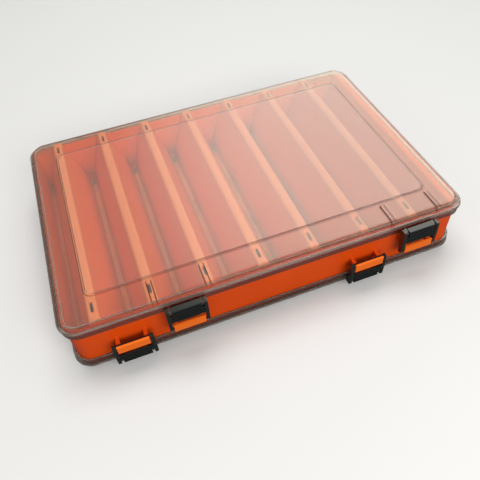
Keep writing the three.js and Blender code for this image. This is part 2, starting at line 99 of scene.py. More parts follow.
# %% [markdown]
# ## Camera
#
# The box is seen from above, in front and a little from the left. The camera's place, turn and lens
# come from fitting the box's known corners to where they appear in the picture. A camera looks along
# its own -Z, so the matrix is put together from the direction back to the camera, and from the right
# and up directions after a slight roll.

# %% Set up the camera
CAMERA_AZIMUTH = math.radians(-16.88)
CAMERA_ELEVATION = math.radians(49.77)
CAMERA_ROLL = math.radians(-4.55)
CAMERA_DISTANCE = 380.75 * MM
CAMERA_TARGET = Vector((-4.6 * MM, -26.38 * MM, 0.8 * MM))
CAMERA_LENS = 38.16

back = Vector(
    (
        math.sin(CAMERA_AZIMUTH) * math.cos(CAMERA_ELEVATION),
        -math.cos(CAMERA_AZIMUTH) * math.cos(CAMERA_ELEVATION),
        math.sin(CAMERA_ELEVATION),
    )
)
level_right = Vector((0, 0, 1)).cross(back).normalized()
level_up = back.cross(level_right)
right = level_right * math.cos(CAMERA_ROLL) + level_up * math.sin(CAMERA_ROLL)
up = level_up * math.cos(CAMERA_ROLL) - level_right * math.sin(CAMERA_ROLL)

bpy.ops.object.camera_add()
camera = bpy.context.object
camera.name = "camera"
camera.matrix_world = Matrix.Translation(CAMERA_TARGET + back * CAMERA_DISTANCE) @ Matrix(
    (right, up, back)
).transposed().to_4x4()
camera.data.lens = CAMERA_LENS
camera.data.clip_start = 0.01
bpy.context.scene.camera = camera
print("camera at", [round(v, 4) for v in camera.matrix_world.translation])

# %% [markdown]
# ## Working by hand, in code
#
# Blender's operators act on whatever is selected. These helpers do what a hand does before each
# operation: select one object, go into edit mode, and pick faces, edges or points by where they are.
# Each new primitive has its place put into its mesh, so that its object stays at the origin.

# %% Helpers for selecting and shaping
ROD_SIDES = 32
CORNER_STEPS = 12


def alone(piece):
    """Selects one object and makes it the active one."""
    if bpy.context.object and bpy.context.object.mode != "OBJECT":
        bpy.ops.object.mode_set(mode="OBJECT")
    bpy.ops.object.select_all(action="DESELECT")
    piece.select_set(True)
    bpy.context.view_layer.objects.active = piece


def primitive(name, add, scale=(1, 1, 1), **settings):
    """Adds a primitive, and puts its place, turn and scale into its mesh."""
    bpy.ops.object.select_all(action="DESELECT")
    add(**settings)
    piece = bpy.context.object
    piece.name = name
    piece.scale = scale
    alone(piece)
    bpy.ops.object.transform_apply(location=True, rotation=True, scale=True)
    return piece


def block(name, low, high):
    """Adds a cube that reaches from one corner to the other."""
    low, high = Vector(low), Vector(high)
    add = bpy.ops.mesh.primitive_cube_add
    return primitive(name, add, high - low, size=1, location=(low + high) / 2)


def rod(name, radius, x, half, y, z):
    """Adds a round bar along X, with its middle at x."""
    return primitive(
        name,
        bpy.ops.mesh.primitive_cylinder_add,
        vertices=ROD_SIDES,
        radius=radius,
        depth=2 * half,
        location=(x, y, z),
        rotation=(0, math.pi / 2, 0),
    )


def pick(piece, kind, test):
    """In edit mode, selects the faces, edges or points whose places pass a test."""
    alone(piece)
    bpy.ops.object.mode_set(mode="EDIT")
    bpy.ops.mesh.select_mode(type=kind)
    bpy.ops.mesh.select_all(action="DESELECT")
    bpy.ops.object.mode_set(mode="OBJECT")
    mesh = piece.data
    if kind == "FACE":
        for face in mesh.polygons:
            face.select = test(face.center, face.normal)
    elif kind == "EDGE":
        for edge in mesh.edges:
            edge.select = test(*(mesh.vertices[i].co for i in edge.vertices))
    else:
        for point in mesh.vertices:
            point.select = test(point.co)
    bpy.ops.object.mode_set(mode="EDIT")


def done():
    """Leaves edit mode."""
    bpy.ops.object.mode_set(mode="OBJECT")


def near(a, b):
    """True if two lengths are the same."""
    return abs(a - b) < SAME


def along_x(a, b):
    """True for an edge that runs along X."""
    return near(a.y, b.y) and near(a.z, b.z)


def round_edges(piece, test, radius, steps):
    """Rounds the edges that pass a test."""
    pick(piece, "EDGE", test)
    bpy.ops.mesh.bevel(offset=radius, segments=steps, affect="EDGES")
    done()


def shift(piece, test, move):
    """Moves the points that pass a test."""
    pick(piece, "VERT", test)
    bpy.ops.transform.translate(value=move)
    done()


def taper(piece, test, scale, middle):
    """Scales the faces that pass a test, about a point."""
    pick(piece, "FACE", test)
    bpy.ops.transform.resize(value=scale, center_override=middle)
    done()


def tidy_normals(piece):
    """Merges double points and turns every face outwards."""
    alone(piece)
    bpy.ops.object.mode_set(mode="EDIT")
    bpy.ops.mesh.select_all(action="SELECT")
    bpy.ops.mesh.remove_doubles(threshold=0.1 * SAME)
    bpy.ops.mesh.normals_make_consistent(inside=False)
    done()


def modify(piece, kind, **settings):
    """Adds a modifier and applies it."""
    alone(piece)
    modifier = piece.modifiers.new("change", kind)
    for key, value in settings.items():
        setattr(modifier, key, value)
    bpy.ops.object.modifier_apply(modifier=modifier.name)


def combine(piece, other, operation):
    """Adds, cuts or intersects a second mesh, which is then removed."""
    modify(piece, "BOOLEAN", operation=operation, solver="MANIFOLD", object=other)
    bpy.data.objects.remove(other)


def copy_of(piece, name, matrix):
    """Copies a piece with a mesh of its own, moved by a matrix."""
    twin = piece.copy()
    twin.data = piece.data.copy()
    twin.name = name
    bpy.context.scene.collection.objects.link(twin)
    twin.data.transform(matrix)
    return twin


def smooth(piece, crease):
    """Shades the piece smooth, apart from its sharp edges, and keeps its large faces flat."""
    alone(piece)
    bpy.ops.object.shade_smooth_by_angle(angle=math.radians(crease))
    modify(piece, "WEIGHTED_NORMAL", weight=100, keep_sharp=True)


def extrude(move):
    """Extrudes the selected face or edge."""
    bpy.ops.mesh.extrude_region_move(TRANSFORM_OT_translate={"value": move})


def raise_face(height):
    """Extrudes the selected face straight up, or down if the height is negative."""
    extrude((0, 0, height))


def draw_in(inset, outwards=0.0):
    """Insets the selected face, and moves it outwards along its own direction."""
    bpy.ops.mesh.inset(thickness=inset, depth=outwards)


def step_in(steps, way=1):
    """Insets and moves the selected face step by step, outwards or (-1) inwards."""
    for inset, rise in steps:
        draw_in(inset, rise * way)


def arc_steps(radius, steps, turn=math.pi / 2):
    """Insets and rises that take a face round a quarter circle, or round a shorter arc."""
    turns = [turn * n / steps for n in range(steps + 1)]
    for one, two in zip(turns, turns[1:]):
        yield (
            radius * (math.cos(one) - math.cos(two)),
            radius * (math.sin(two) - math.sin(one)),
        )


def rounded_block(name, inset, z, height):
    """Adds a block with the box's rounded outline, moved in by an inset."""
    plate = primitive(
        name,
        bpy.ops.mesh.primitive_plane_add,
        (HALF_LENGTH - inset, HALF_WIDTH - inset, 1),
        size=2,
        location=(0, 0, z),
    )
    pick(plate, "VERT", lambda p: True)
    bpy.ops.mesh.bevel(offset=RIM_RADIUS - inset, segments=CORNER_STEPS, affect="VERTICES")
    done()
    pick(plate, "FACE", lambda c, n: True)
    raise_face(height)
    done()
    tidy_normals(plate)
    return plate


def strip(name, points, axis, middle, width):
    """Adds a strip that is led from point to point. A point is its place on X (0) or Y (1), and Z."""
    (start, height), (end, _) = points[:2]
    place = [middle, middle, height]
    place[axis] = (start + end) / 2
    scale = [width, width, 1]
    scale[axis] = abs(end - start)
    add = bpy.ops.mesh.primitive_plane_add
    made = primitive(name, add, scale, size=1, location=place)
    pick(made, "EDGE", lambda a, b: near(a[axis], end) and near(b[axis], end))
    for (one, low), (two, high) in zip(points[1:], points[2:]):
        move = [0, 0, high - low]
        move[axis] = two - one
        extrude(move)
    done()
    return made


print("helpers ready")

# %% [markdown]
# ## The clear lids
#
# A lid is a shallow moulded shell: a skirt that hangs over the tray, a beaded rim, a short side wall,
# a round edge, a flat margin and a panel raised by less than a millimetre. It starts as a thin slab
# with round corners, whose top face is inset and lifted in many small steps. The same work on its
# underside hollows it. That keeps the wall even, which matters, because light passes through it.

# %% Model the lid's shell
BEAD = 1.2 * MM
EDGE_RADIUS = 2 * MM
WALL_FOOT = 0.5 * MM
SKIRT_CHAMFER = 0.4 * MM
SLAB = 0.06 * MM
PANEL_HALF = (115.6 * MM, 69 * MM)
PANEL_SLOPE = ((0.25 * MM, 0.12 * MM), (0.4 * MM, 0.56 * MM), (0.25 * MM, 0.12 * MM))
PANEL_WALL = 0.6 * MM


def shrink_face_to_panel(inset, grow):
    """Copies the selected face, at an inset from the outline, inwards to the panel's size."""
    raise_face(0)
    half_x, half_y = HALF_LENGTH - inset, HALF_WIDTH - inset
    scale = ((PANEL_HALF[0] + grow) / half_x, (PANEL_HALF[1] + grow) / half_y, 1)
    bpy.ops.transform.resize(value=scale, center_override=(0, 0, 0))


def model_lid_shell():
    """The shell: first its outside from the bead upwards, then the skirt and the inside."""
    bead_line = RIM_TOP - BEAD
    lid = rounded_block("top_lid_shell", 0, bead_line - SLAB / 2, SLAB)
    pick(lid, "FACE", lambda c, n: n.z > 0.5)
    step_in(arc_steps(BEAD, 6))
    draw_in(RIM_STANDOUT - BEAD - WALL_FOOT)
    step_in([(inset, rise) for rise, inset in reversed(list(arc_steps(WALL_FOOT, 3)))])
    raise_face(LID_TOP - EDGE_RADIUS - RIM_TOP - WALL_FOOT)
    step_in(arc_steps(EDGE_RADIUS, 8))
    shrink_face_to_panel(RIM_STANDOUT + EDGE_RADIUS, 0)
    step_in(PANEL_SLOPE)
    pick(lid, "FACE", lambda c, n: n.z < -0.5)
    under = math.acos(1 - SKIRT_SET_BACK / BEAD)
    step_in(arc_steps(BEAD, 4, under))
    raise_face(SKIRT_END + SKIRT_CHAMFER - bead_line + BEAD * math.sin(under))
    draw_in(SKIRT_CHAMFER, SKIRT_CHAMFER)
    draw_in(SKIRT_WALL - SKIRT_CHAMFER)
    raise_face(RIM_TOP - LID_WALL - SKIRT_END)
    draw_in(RIM_STANDOUT + LID_WALL - SKIRT_SET_BACK - SKIRT_WALL)
    raise_face(LID_TOP - EDGE_RADIUS - RIM_TOP + LID_WALL)
    step_in(arc_steps(EDGE_RADIUS - LID_WALL, 4), -1)
    shrink_face_to_panel(RIM_STANDOUT + EDGE_RADIUS, -PANEL_WALL)
    step_in(PANEL_SLOPE, -1)
    done()
    return lid


top_lid = model_lid_shell()
print("lid shell", len(top_lid.data.polygons), "faces")

# %% [markdown]
# ## Ribs and ears on the lid
#
# Low ribs run over the front edge beside each latch, to stiffen the place where it pulls. Each is a
# narrow strip, led step by step over the rounded edge and given a wall by a Solidify modifier. The
# ears are small blocks with a round nose. All of them are fused with the shell, because light would
# show a second surface inside the clear plastic.

# %% Model the ribs and the ears
RIB_WIDTH = 3 * MM
RIB_HEIGHT = 0.6 * MM
RIB_SINK = 0.7 * MM
RIB_OFFSET = 16.6 * MM
RIB_REACH = 15.6 * MM
RIB_END = 0.5 * MM
RIB_EDGE = 0.12 * MM
RIB_STEPS = 6
EAR_ROOT = SKIRT_SET_BACK + SKIRT_WALL / 2
EAR_HALF = 0.5 * MM
EAR_NOSE = 1.9 * MM
EAR_OFFSET = 9.9 * MM
NOSE_SLACK = 0.02 * MM
HINGE_EAR_HALF = 2.5 * MM
HINGE_EAR_OFFSET = 10.9 * MM
HINGE_EAR_RISE = 0.6 * MM
HINGE_EAR_ROOT_SHARE = 0.82
ROOM_HALF = 8.5 * MM
ROOM_DEPTH = 3 * MM
ROOM_RISE = 3.3 * MM


def edge_path():
    """Points (y, z) over the lid's front edge, from the plate down to the rim."""
    wall = -HALF_WIDTH + RIM_STANDOUT
    points = [(wall + RIB_REACH, LID_TOP), (wall + EDGE_RADIUS, LID_TOP)]
    for n in range(1, RIB_STEPS + 1):
        turn = math.pi / 2 * n / RIB_STEPS
        y = wall + EDGE_RADIUS * (1 - math.sin(turn))
        points.append((y, LID_TOP - EDGE_RADIUS * (1 - math.cos(turn))))
    points.append((wall, RIM_TOP - RIB_END))
    return points


def model_edge_rib(x):
    """One low rib. A part of its wall is sunk in the lid, so that the two fuse."""
    rib = strip("rib", edge_path(), 1, x, RIB_WIDTH)
    wall = RIB_HEIGHT + RIB_SINK
    modify(rib, "SOLIDIFY", thickness=wall, offset=1 - 2 * RIB_SINK / wall, use_even_offset=True)
    tidy_normals(rib)
    round_edges(rib, lambda a, b: near(a.x, b.x) and min(a.z, b.z) > RIM_TOP, RIB_EDGE, 2)
    return rib


def model_latch_ear(x):
    y, z = LATCH_PIN
    low = (x - EAR_HALF, y - EAR_NOSE, z - EAR_NOSE)
    ear = block("ear", low, (x + EAR_HALF, EAR_ROOT - HALF_WIDTH, z + EAR_NOSE))
    round_edges(ear, lambda a, b: along_x(a, b) and a.y < y, EAR_NOSE - NOSE_SLACK, 6)
    return ear


def model_hinge_ear(x):
    y, z = HINGE_PIN
    low = (x - HINGE_EAR_HALF, HALF_WIDTH - EAR_ROOT, z - HINGE_NOSE)
    ear = block("ear", low, (x + HINGE_EAR_HALF, y + HINGE_NOSE, z + HINGE_NOSE))
    round_edges(ear, lambda a, b: along_x(a, b) and a.y > y, HINGE_NOSE - NOSE_SLACK, 8)
    root = (1, 1, HINGE_EAR_ROOT_SHARE)
    taper(ear, lambda c, n: n.y < -0.9, root, (x, 0, z + HINGE_EAR_RISE))
    return ear


def finish_lid(lid):
    """Adds the ribs and ears, and cuts room for the tray's hinge knuckles."""
    for x in LATCHES.values():
        for side in (-1, 1):
            combine(lid, model_edge_rib(x + side * RIB_OFFSET), "UNION")
            combine(lid, model_latch_ear(x + side * EAR_OFFSET), "UNION")
    for x in HINGES.values():
        low = (x - ROOM_HALF, HALF_WIDTH - ROOM_DEPTH, SKIRT_END - OVERRUN)
        high = (x + ROOM_HALF, HALF_WIDTH + OVERRUN, HINGE_PIN[1] + ROOM_RISE)
        combine(lid, block("room", low, high), "DIFFERENCE")
        for side in (-1, 1):
            combine(lid, model_hinge_ear(x + side * HINGE_EAR_OFFSET), "UNION")
    smooth(lid, crease=28)


finish_lid(top_lid)
bottom_lid = copy_of(top_lid, "bottom_lid_shell", TURN_OVER)
print("finished lid", len(top_lid.data.polygons), "faces")

# %% [markdown]
# ## The tray's wall
#
# The wall is a plain band with round corners. A rounded block has both of its faces inset by the
# wall's thickness. The two inner faces are then taken away, and the edges that this leaves open are
# bridged.

# %% Model the wall
WALL_CHAMFER = 0.4 * MM


def model_tray_wall():
    low = 2 * MIDDLE - TRAY_TOP + WALL_CHAMFER
    wall = rounded_block("tray_body", TRAY_INSET, low, TRAY_TOP - WALL_CHAMFER - low)
    for side in (-1, 1):
        pick(wall, "FACE", lambda c, n: n.z * side > 0.5)
        step_in(arc_steps(WALL_CHAMFER, 3))
        draw_in(TRAY_WALL - WALL_CHAMFER)
        done()
    pick(wall, "FACE", lambda c, n: abs(n.z) > 0.5 and math.hypot(c.x, c.y) < MM)
    bpy.ops.mesh.delete(type="ONLY_FACE")
    bpy.ops.mesh.select_mode(type="EDGE")
    bpy.ops.mesh.select_non_manifold(extend=False)
    bpy.ops.mesh.bridge_edge_loops()
    done()
    tidy_normals(wall)
    return wall


tray = model_tray_wall()
print("tray wall", len(tray.data.polygons), "faces")

# %% [markdown]
# ## The wavy sheet
#
# The sheet starts as a narrow strip at the left wall. Its edge is extruded from fold to fold, as far
# as the right wall, and the folds are rounded by a bevel. A Solidify modifier gives it its wall, half
# on each side. Blocks close the ends of the folds above the wall. An intersection with a block of the
# box's outline trims it. Past the wall that block is smaller, so that the folds fit inside the lids.

# %% Model the wavy sheet
FOLD_HALF = 2.4 * MM
FOLD_ROUND = 1.1 * MM
SHEET_END_INSET = 5.3 * MM
END_SLOPE = 1 * MM
LEAN = (PITCH / 2 - 2 * FOLD_HALF) / (2 * (RIDGE_TOP - MIDDLE) - SHEET_WALL)


def sheet_line():
    """Middle line (x, z) of the wavy sheet."""
    reach = RIDGE_TOP - MIDDLE - SHEET_WALL / 2
    ledge = TRAY_TOP - MIDDLE - SHEET_WALL / 2
    wall_x = INNER_HALF + TRAY_WALL / 2
    points = [(-wall_x, MIDDLE - ledge)]
    points.append((-INNER_HALF + FOLD_HALF + (reach - ledge) * LEAN, MIDDLE - ledge))
    for ridge in RIDGES:
        valley = ridge + PITCH / 2
        points += [(ridge - FOLD_HALF, MIDDLE + reach), (ridge + FOLD_HALF, MIDDLE + reach)]
        points += [(valley - FOLD_HALF, MIDDLE - reach), (valley + FOLD_HALF, MIDDLE - reach)]
    points.append((INNER_HALF - FOLD_HALF - (reach - ledge) * LEAN, MIDDLE + ledge))
    points.append((wall_x, MIDDLE + ledge))
    return points


def model_sheet():
    """The folded sheet, longer than the tray is wide."""
    points = sheet_line()
    sheet = strip("sheet", points, 0, 0, 2 * HALF_WIDTH)
    ends = (points[0][0], points[-1][0])

    def is_fold(a, b):
        return near(a.x, b.x) and near(a.z, b.z) and not any(near(a.x, end) for end in ends)

    round_edges(sheet, is_fold, FOLD_ROUND, 4)
    modify(sheet, "SOLIDIFY", thickness=SHEET_WALL, offset=0, use_even_offset=True)
    tidy_normals(sheet)
    return sheet


def model_fold_stop(ridge, side):
    """Block that closes one end of a fold above the wall."""
    low, high = TRAY_TOP - SHEET_WALL, RIDGE_TOP - SHEET_WALL / 2
    near_wall = HALF_WIDTH - TRAY_INSET - TRAY_WALL / 2
    end = HALF_WIDTH - SHEET_END_INSET - SHEET_WALL
    y_low, y_high = sorted((side * near_wall, side * end))
    stop = block("stop", (ridge - FOLD_HALF, y_low, low), (ridge + FOLD_HALF, y_high, high))
    grow = 1 + (high - low) * LEAN / FOLD_HALF
    taper(stop, lambda c, n: n.z < -0.5, (grow, 1, 1), (ridge, 0, 0))
    return stop


def model_sheet_space():
    """Block of the outline that the sheet may fill."""
    middle = TRAY_INSET + TRAY_WALL / 2
    space = rounded_block("space", middle, 2 * MIDDLE - TRAY_TOP, 2 * (TRAY_TOP - MIDDLE))
    for side in (-1, 1):
        pick(space, "FACE", lambda c, n: n.z * side > 0.5)
        draw_in(SHEET_END_INSET - middle)
        raise_face(side * (RIDGE_TOP - TRAY_TOP - END_SLOPE))
        draw_in(END_SLOPE, END_SLOPE)
        draw_in(END_SLOPE, END_SLOPE)
        done()
    return space


def model_divider_sheet():
    """The trimmed sheet with its stops on both sides."""
    sheet = model_sheet()
    for ridge in RIDGES:
        for side in (-1, 1):
            stop = model_fold_stop(ridge, side)
            combine(sheet, copy_of(stop, "stop_turned", TURN_OVER), "UNION")
            combine(sheet, stop, "UNION")
    combine(sheet, model_sheet_space(), "INTERSECT")
    return sheet


combine(tray, model_divider_sheet(), "UNION")
print("tray with its sheet", len(tray.data.polygons), "faces")

# %% [markdown]
# ## Catches, hinge knuckles and drain slots
#
# Each catch is a small plate that two webs hold in front of the wall. The latch's rail snaps behind
# it. The knuckles at the back are rounded blocks on a sloping root. The slots let water out of the
# folds. Their cutter is a block whose upright edges are rounded until its ends are half circles.

# %% Model the tray's small features
CATCH_OUT = 6.2 * MM
CATCH_TIP = MIDDLE - 2.0 * MM
CATCH_TOP = CATCH_TIP + 6.6 * MM
CATCH_HALF = 10 * MM
CATCH_WALL = 1.2 * MM
CATCH_NOSE = 0.75 * MM
WEB_HALF = 1 * MM
WEB_OFFSET = 8.6 * MM
WEB_FROM_TIP = 1.9 * MM
WEB_FROM_TOP = 0.8 * MM
WEB_FRONT_SHARE = 1.4
KNUCKLE_HALF = 8 * MM
KNUCKLE_SLOPE = 4 * MM
BORE_RADIUS = 1.3 * MM
BORE_HALF = 13 * MM
SLOT_Y = 76.3 * MM
SLOT_HALF = 0.9 * MM
SLOT_REACH = 3.8 * MM


def model_catch(x):
    """The catch's plate and its two webs."""
    face = -HALF_WIDTH - CATCH_OUT
    low = (x - CATCH_HALF, face, CATCH_TIP)
    plate = block("catch", low, (x + CATCH_HALF, face + CATCH_WALL, CATCH_TOP))

    def is_tip(a, b):
        return along_x(a, b) and near(a.y, face) and near(a.z, CATCH_TIP)

    round_edges(plate, is_tip, CATCH_NOSE, 3)
    round_edges(plate, lambda a, b: near(a.y, face) and near(b.y, face), SOFT_EDGE, 2)
    parts = [plate]
    for middle in (x - WEB_OFFSET, x + WEB_OFFSET):
        low = (middle - WEB_HALF, face + CATCH_WALL / 2, CATCH_TIP + WEB_FROM_TIP)
        root = -HALF_WIDTH + TRAY_INSET + TRAY_WALL / 2
        web = block("web", low, (middle + WEB_HALF, root, CATCH_TOP - WEB_FROM_TOP))
        taper(web, lambda c, n: n.y < -0.5, (WEB_FRONT_SHARE, 1, 1), (middle, 0, 0))
        round_edges(web, lambda a, b: abs(a.y - b.y) > MM, SOFT_EDGE, 2)
        parts.append(web)
    return parts


def model_knuckle(x):
    y, z = HINGE_PIN
    root = HALF_WIDTH - TRAY_INSET - TRAY_WALL / 2
    low = (x - KNUCKLE_HALF, root, z - HINGE_NOSE)
    knuckle = block("knuckle", low, (x + KNUCKLE_HALF, y + HINGE_NOSE, z + HINGE_NOSE))
    round_edges(knuckle, lambda a, b: along_x(a, b) and a.y > y, HINGE_NOSE - NOSE_SLACK, 8)
    shift(knuckle, lambda p: near(p.y, root) and p.z < z, (0, 0, -KNUCKLE_SLOPE))
    return knuckle


def model_slot(ridge, y):
    low = (ridge - SLOT_HALF, y - SLOT_REACH, RIDGE_TOP - SHEET_WALL - OVERRUN)
    slot = block("slot", low, (ridge + SLOT_HALF, y + SLOT_REACH, RIDGE_TOP + OVERRUN))
    round_edges(slot, lambda a, b: near(a.x, b.x) and near(a.y, b.y), SLOT_HALF - SAME, 6)
    return slot


def add_tray_features():
    """Adds each feature, and cuts each bore and slot, on both sides of the tray."""
    added = []
    cutters = []
    for x in LATCHES.values():
        added += model_catch(x)
    for x in HINGES.values():
        added.append(model_knuckle(x))
        cutters.append(rod("bore", BORE_RADIUS, x, BORE_HALF, *HINGE_PIN))
    for ridge in RIDGES:
        cutters += [model_slot(ridge, -SLOT_Y), model_slot(ridge, SLOT_Y)]
    for feature, operation in [(f, "UNION") for f in added] + [(c, "DIFFERENCE") for c in cutters]:
        combine(tray, copy_of(feature, feature.name + "_turned", TURN_OVER), operation)
        combine(tray, feature, operation)
    smooth(tray, crease=30)


add_tray_features()
print("finished tray", len(tray.data.polygons), "faces")

# %% [markdown]
# ## The latches
#
# A latch swings on a pin in the lid's ears. From the top down it has a thick barrel with a crisp lip,
# a plate with grip ribs across it, a window that the catch shows through, and a thin rail. Its front
# flares outwards towards the window. Two cheeks run down its sides, and a notch on each side of the
# barrel clears an ear. It is modelled block by block and fused.

# %% Model one latch
LATCH_HALF = 12.8 * MM
CHEEK = 2.1 * MM
NOTCH = 1.6 * MM
BARREL_HALF = 2.4 * MM
BACK_ROUND = 1.1 * MM
LATCH_END = -16.9 * MM
WINDOW_TOP = -7.6 * MM
FLARE = 0.6 * MM
LATCH_BACK = 0.4 * MM
PART_OVERLAP = 0.4 * MM
LIP_BACK = 1.2 * MM
LIP_FOOT = 1.4 * MM
LIP_ROUND = 0.3 * MM
NECK_FOOT = -4 * MM
RAIL_HEIGHT = 1.1 * MM
RAIL_OUT = 1.7 * MM
RAIL_ROUND = 0.3 * MM
GRIP_RIB = 0.6 * MM
GRIP_PITCH = 2.2 * MM
GRIP_WIDTH = 1 * MM
GRIP_ROUND = 0.25 * MM
LATCH_BORE = (0.9 * MM, 14 * MM)


def latch_front(up):
    """How far out from the pin the latch's front is at a height."""
    share = (BARREL_HALF - up) / (BARREL_HALF - WINDOW_TOP)
    return BARREL_HALF + FLARE * min(share, 1)


def latch_block(name, half, out_low, up_low, up_high, sink=0.0, front=None):
    """Block about the latch's middle. Its front follows the flare, less a sink, or is flat."""
    y, z = LATCH_PIN
    centre = LATCHES["left"]
    out_high = latch_front(up_high) - sink if front is None else front
    low = (centre - half, y - out_high, z + up_low)
    made = block(name, low, (centre + half, y - out_low, z + up_high))
    if front is None:
        more = latch_front(up_low) - latch_front(up_high)
        shift(made, lambda p: p.y < y - out_low - SAME and near(p.z, z + up_low), (0, -more, 0))
    return made


def model_latch_cheek(side):
    """A side of the latch. It is cut across at two heights, so that it can bend there."""
    y, z = LATCH_PIN
    cheek = latch_block("cheek", CHEEK / 2, -BARREL_HALF, LATCH_END, BARREL_HALF, front=BARREL_HALF)
    cheek.data.transform(Matrix.Translation((side * (LATCH_HALF - CHEEK / 2), 0, 0)))
    for height in (-BARREL_HALF, WINDOW_TOP):
        pick(cheek, "FACE", lambda c, n: True)
        bpy.ops.mesh.bisect(plane_co=(0, y, z + height), plane_no=(0, 0, 1))
        done()
    for height, back_in in ((-BARREL_HALF, 0), (WINDOW_TOP, 0.8 * MM), (LATCH_END, 2.2 * MM)):
        out = latch_front(height) - BARREL_HALF
        shift(cheek, lambda p: p.y < y and near(p.z, z + height), (0, -out, 0))
        shift(cheek, lambda p: p.y > y and near(p.z, z + height), (0, -back_in, 0))
    for height, in_front, radius, steps in (
        (BARREL_HALF, False, BACK_ROUND, 4),
        (BARREL_HALF, True, 0.35 * MM, 2),
        (LATCH_END, False, 0.5 * MM, 3),
        (LATCH_END, True, 2.3 * MM, 6),
    ):

        def is_end(a, b):
            return along_x(a, b) and near(a.z, z + height) and (a.y < y - MM) == in_front

        round_edges(cheek, is_end, radius, steps)
    outer = LATCHES["left"] + side * LATCH_HALF
    round_edges(cheek, lambda a, b: near(a.x, outer) and near(b.x, outer), SOFT_EDGE, 2)
    return cheek


def soften(piece, radius, up=None):
    """Rounds the front edges along X, all of them or those at a height."""
    y, z = LATCH_PIN
    front = y - BARREL_HALF + GRIP_RIB - SAME

    def is_front(a, b):
        return along_x(a, b) and a.y < front and (up is None or near(a.z, z + up))

    round_edges(piece, is_front, radius, 2)


def model_latch():
    """The top left latch."""
    half_barrel = LATCH_HALF - CHEEK - NOTCH
    inside = LATCH_HALF - CHEEK
    wide = inside + PART_OVERLAP
    latch = latch_block("latch", half_barrel, -BARREL_HALF, -BARREL_HALF, BARREL_HALF, GRIP_RIB)
    round_edges(latch, lambda a, b: along_x(a, b) and a.y > LATCH_PIN[0], BACK_ROUND, 4)
    lip = latch_block("lip", half_barrel, LIP_BACK, LIP_FOOT, BARREL_HALF)
    soften(lip, LIP_ROUND, BARREL_HALF)
    soften(lip, SOFT_EDGE, LIP_FOOT)
    rail_top = LATCH_END + RAIL_HEIGHT
    rail = latch_block("rail", wide, LATCH_BACK, LATCH_END, rail_top, front=RAIL_OUT)
    round_edges(rail, along_x, RAIL_ROUND, 3)
    plate = latch_block("plate", wide, LATCH_BACK, WINDOW_TOP, -BARREL_HALF, GRIP_RIB)
    neck = latch_block("neck", half_barrel, LATCH_BACK, NECK_FOOT, 0, GRIP_RIB)
    parts = [lip, model_latch_cheek(-1), model_latch_cheek(1), plate, neck, rail]
    for n in range(4):
        low = WINDOW_TOP + n * GRIP_PITCH
        half = half_barrel if low > -BARREL_HALF else inside + PART_OVERLAP / 2
        rib = latch_block("rib", half, latch_front(low) - 2 * GRIP_RIB, low, low + GRIP_WIDTH)
        soften(rib, GRIP_ROUND)
        parts.append(rib)
    for part in parts:
        combine(latch, part, "UNION")
    radius, half = LATCH_BORE
    combine(latch, rod("bore", radius, LATCHES["left"], half, *LATCH_PIN), "DIFFERENCE")
    smooth(latch, crease=35)
    return latch


first_latch = model_latch()
latches = {}
for hand, x in LATCHES.items():
    move = Matrix.Translation((x - LATCHES["left"], 0, 0))
    for name, matrix in (
        (f"top_latch_{hand}", move),
        (f"bottom_latch_{OTHER_HAND[hand]}", TURN_OVER @ move),
    ):
        latches[name] = copy_of(first_latch, f"{name}_shape", matrix)
bpy.data.objects.remove(first_latch)
print("latches", sorted(latches))

# %% [markdown]
# ## Pins
#
# The pins are cut from drawn wire. Each is a round bar whose end edges are bevelled.

# %% Model the pins
pins = {}
for kind, places, radius, half, line in (
    ("latch", LATCHES, 0.8 * MM, 12.4 * MM, LATCH_PIN),
    ("hinge", HINGES, 1.2 * MM, 13 * MM, HINGE_PIN),
):
    for hand, x in places.items():
        name = f"top_{kind}_pin_{hand}"
        pins[name] = rod(f"{name}_shape", radius, x, half, *line)
        round_edges(pins[name], lambda a, b: near(a.x, b.x), 0.25 * radius, 2)
        smooth(pins[name], crease=35)
for name, pin in list(pins.items()):
    _, kind, _, hand = name.split("_")
    low_name = f"bottom_{kind}_pin_{OTHER_HAND[hand]}"
    pins[low_name] = copy_of(pin, f"{low_name}_shape", TURN_OVER)
print("pins", sorted(pins))

# %% [markdown]
# ## Working with nodes
#
# A finish is a chain of nodes. Each of these helpers adds one node and gives back its result, so a
# chain reads like a sum. A value can be a number, a colour or another node's result.

# %% Helpers for nodes


def put(socket, value):
    """Links a socket to a result, or sets its constant."""
    if isinstance(value, bpy.types.NodeSocket):
        socket.id_data.links.new(value, socket)
    elif socket.type == "RGBA":
        socket.default_value = (*value, 1)
    else:
        socket.default_value = value


def add_node(tree, kind, *values, **settings):
    """Adds a node. The values go to its first inputs, and settings named in_... to named ones."""
    node = tree.nodes.new("ShaderNode" + kind)
    for key, value in settings.items():
        if key.startswith("in_"):
            put(node.inputs[key[3:].replace("_", " ")], value)
        else:
            setattr(node, key, value)
    for socket, value in zip(node.inputs, values):
        put(socket, value)
    return node


def tree_of(*values):
    """The node tree that the results among the values belong to."""
    return next(value.id_data for value in values if isinstance(value, bpy.types.NodeSocket))


def maths(operation, *values, clamp=False):
    node = add_node(tree_of(*values), "Math", *values, operation=operation, use_clamp=clamp)
    return node.outputs[0]


def times(one, two):
    return maths("MULTIPLY", one, two)


def vector_maths(operation, *values):
    node = add_node(tree_of(*values), "VectorMath", *values, operation=operation)
    return node.outputs["Value" if operation in ("DOT_PRODUCT", "LENGTH") else "Vector"]


def ramp(source, start, end, low=0.0, high=1.0, kind="SMOOTHSTEP"):
    """Value that goes smoothly from low to high while the source goes from start to end."""
    node = add_node(source.id_data, "MapRange", interpolation_type=kind, in_Value=source)
    for socket, value in zip(("From Min", "From Max", "To Min", "To Max"), (start, end, low, high)):
        node.inputs[socket].default_value = value
    return node.outputs["Result"]


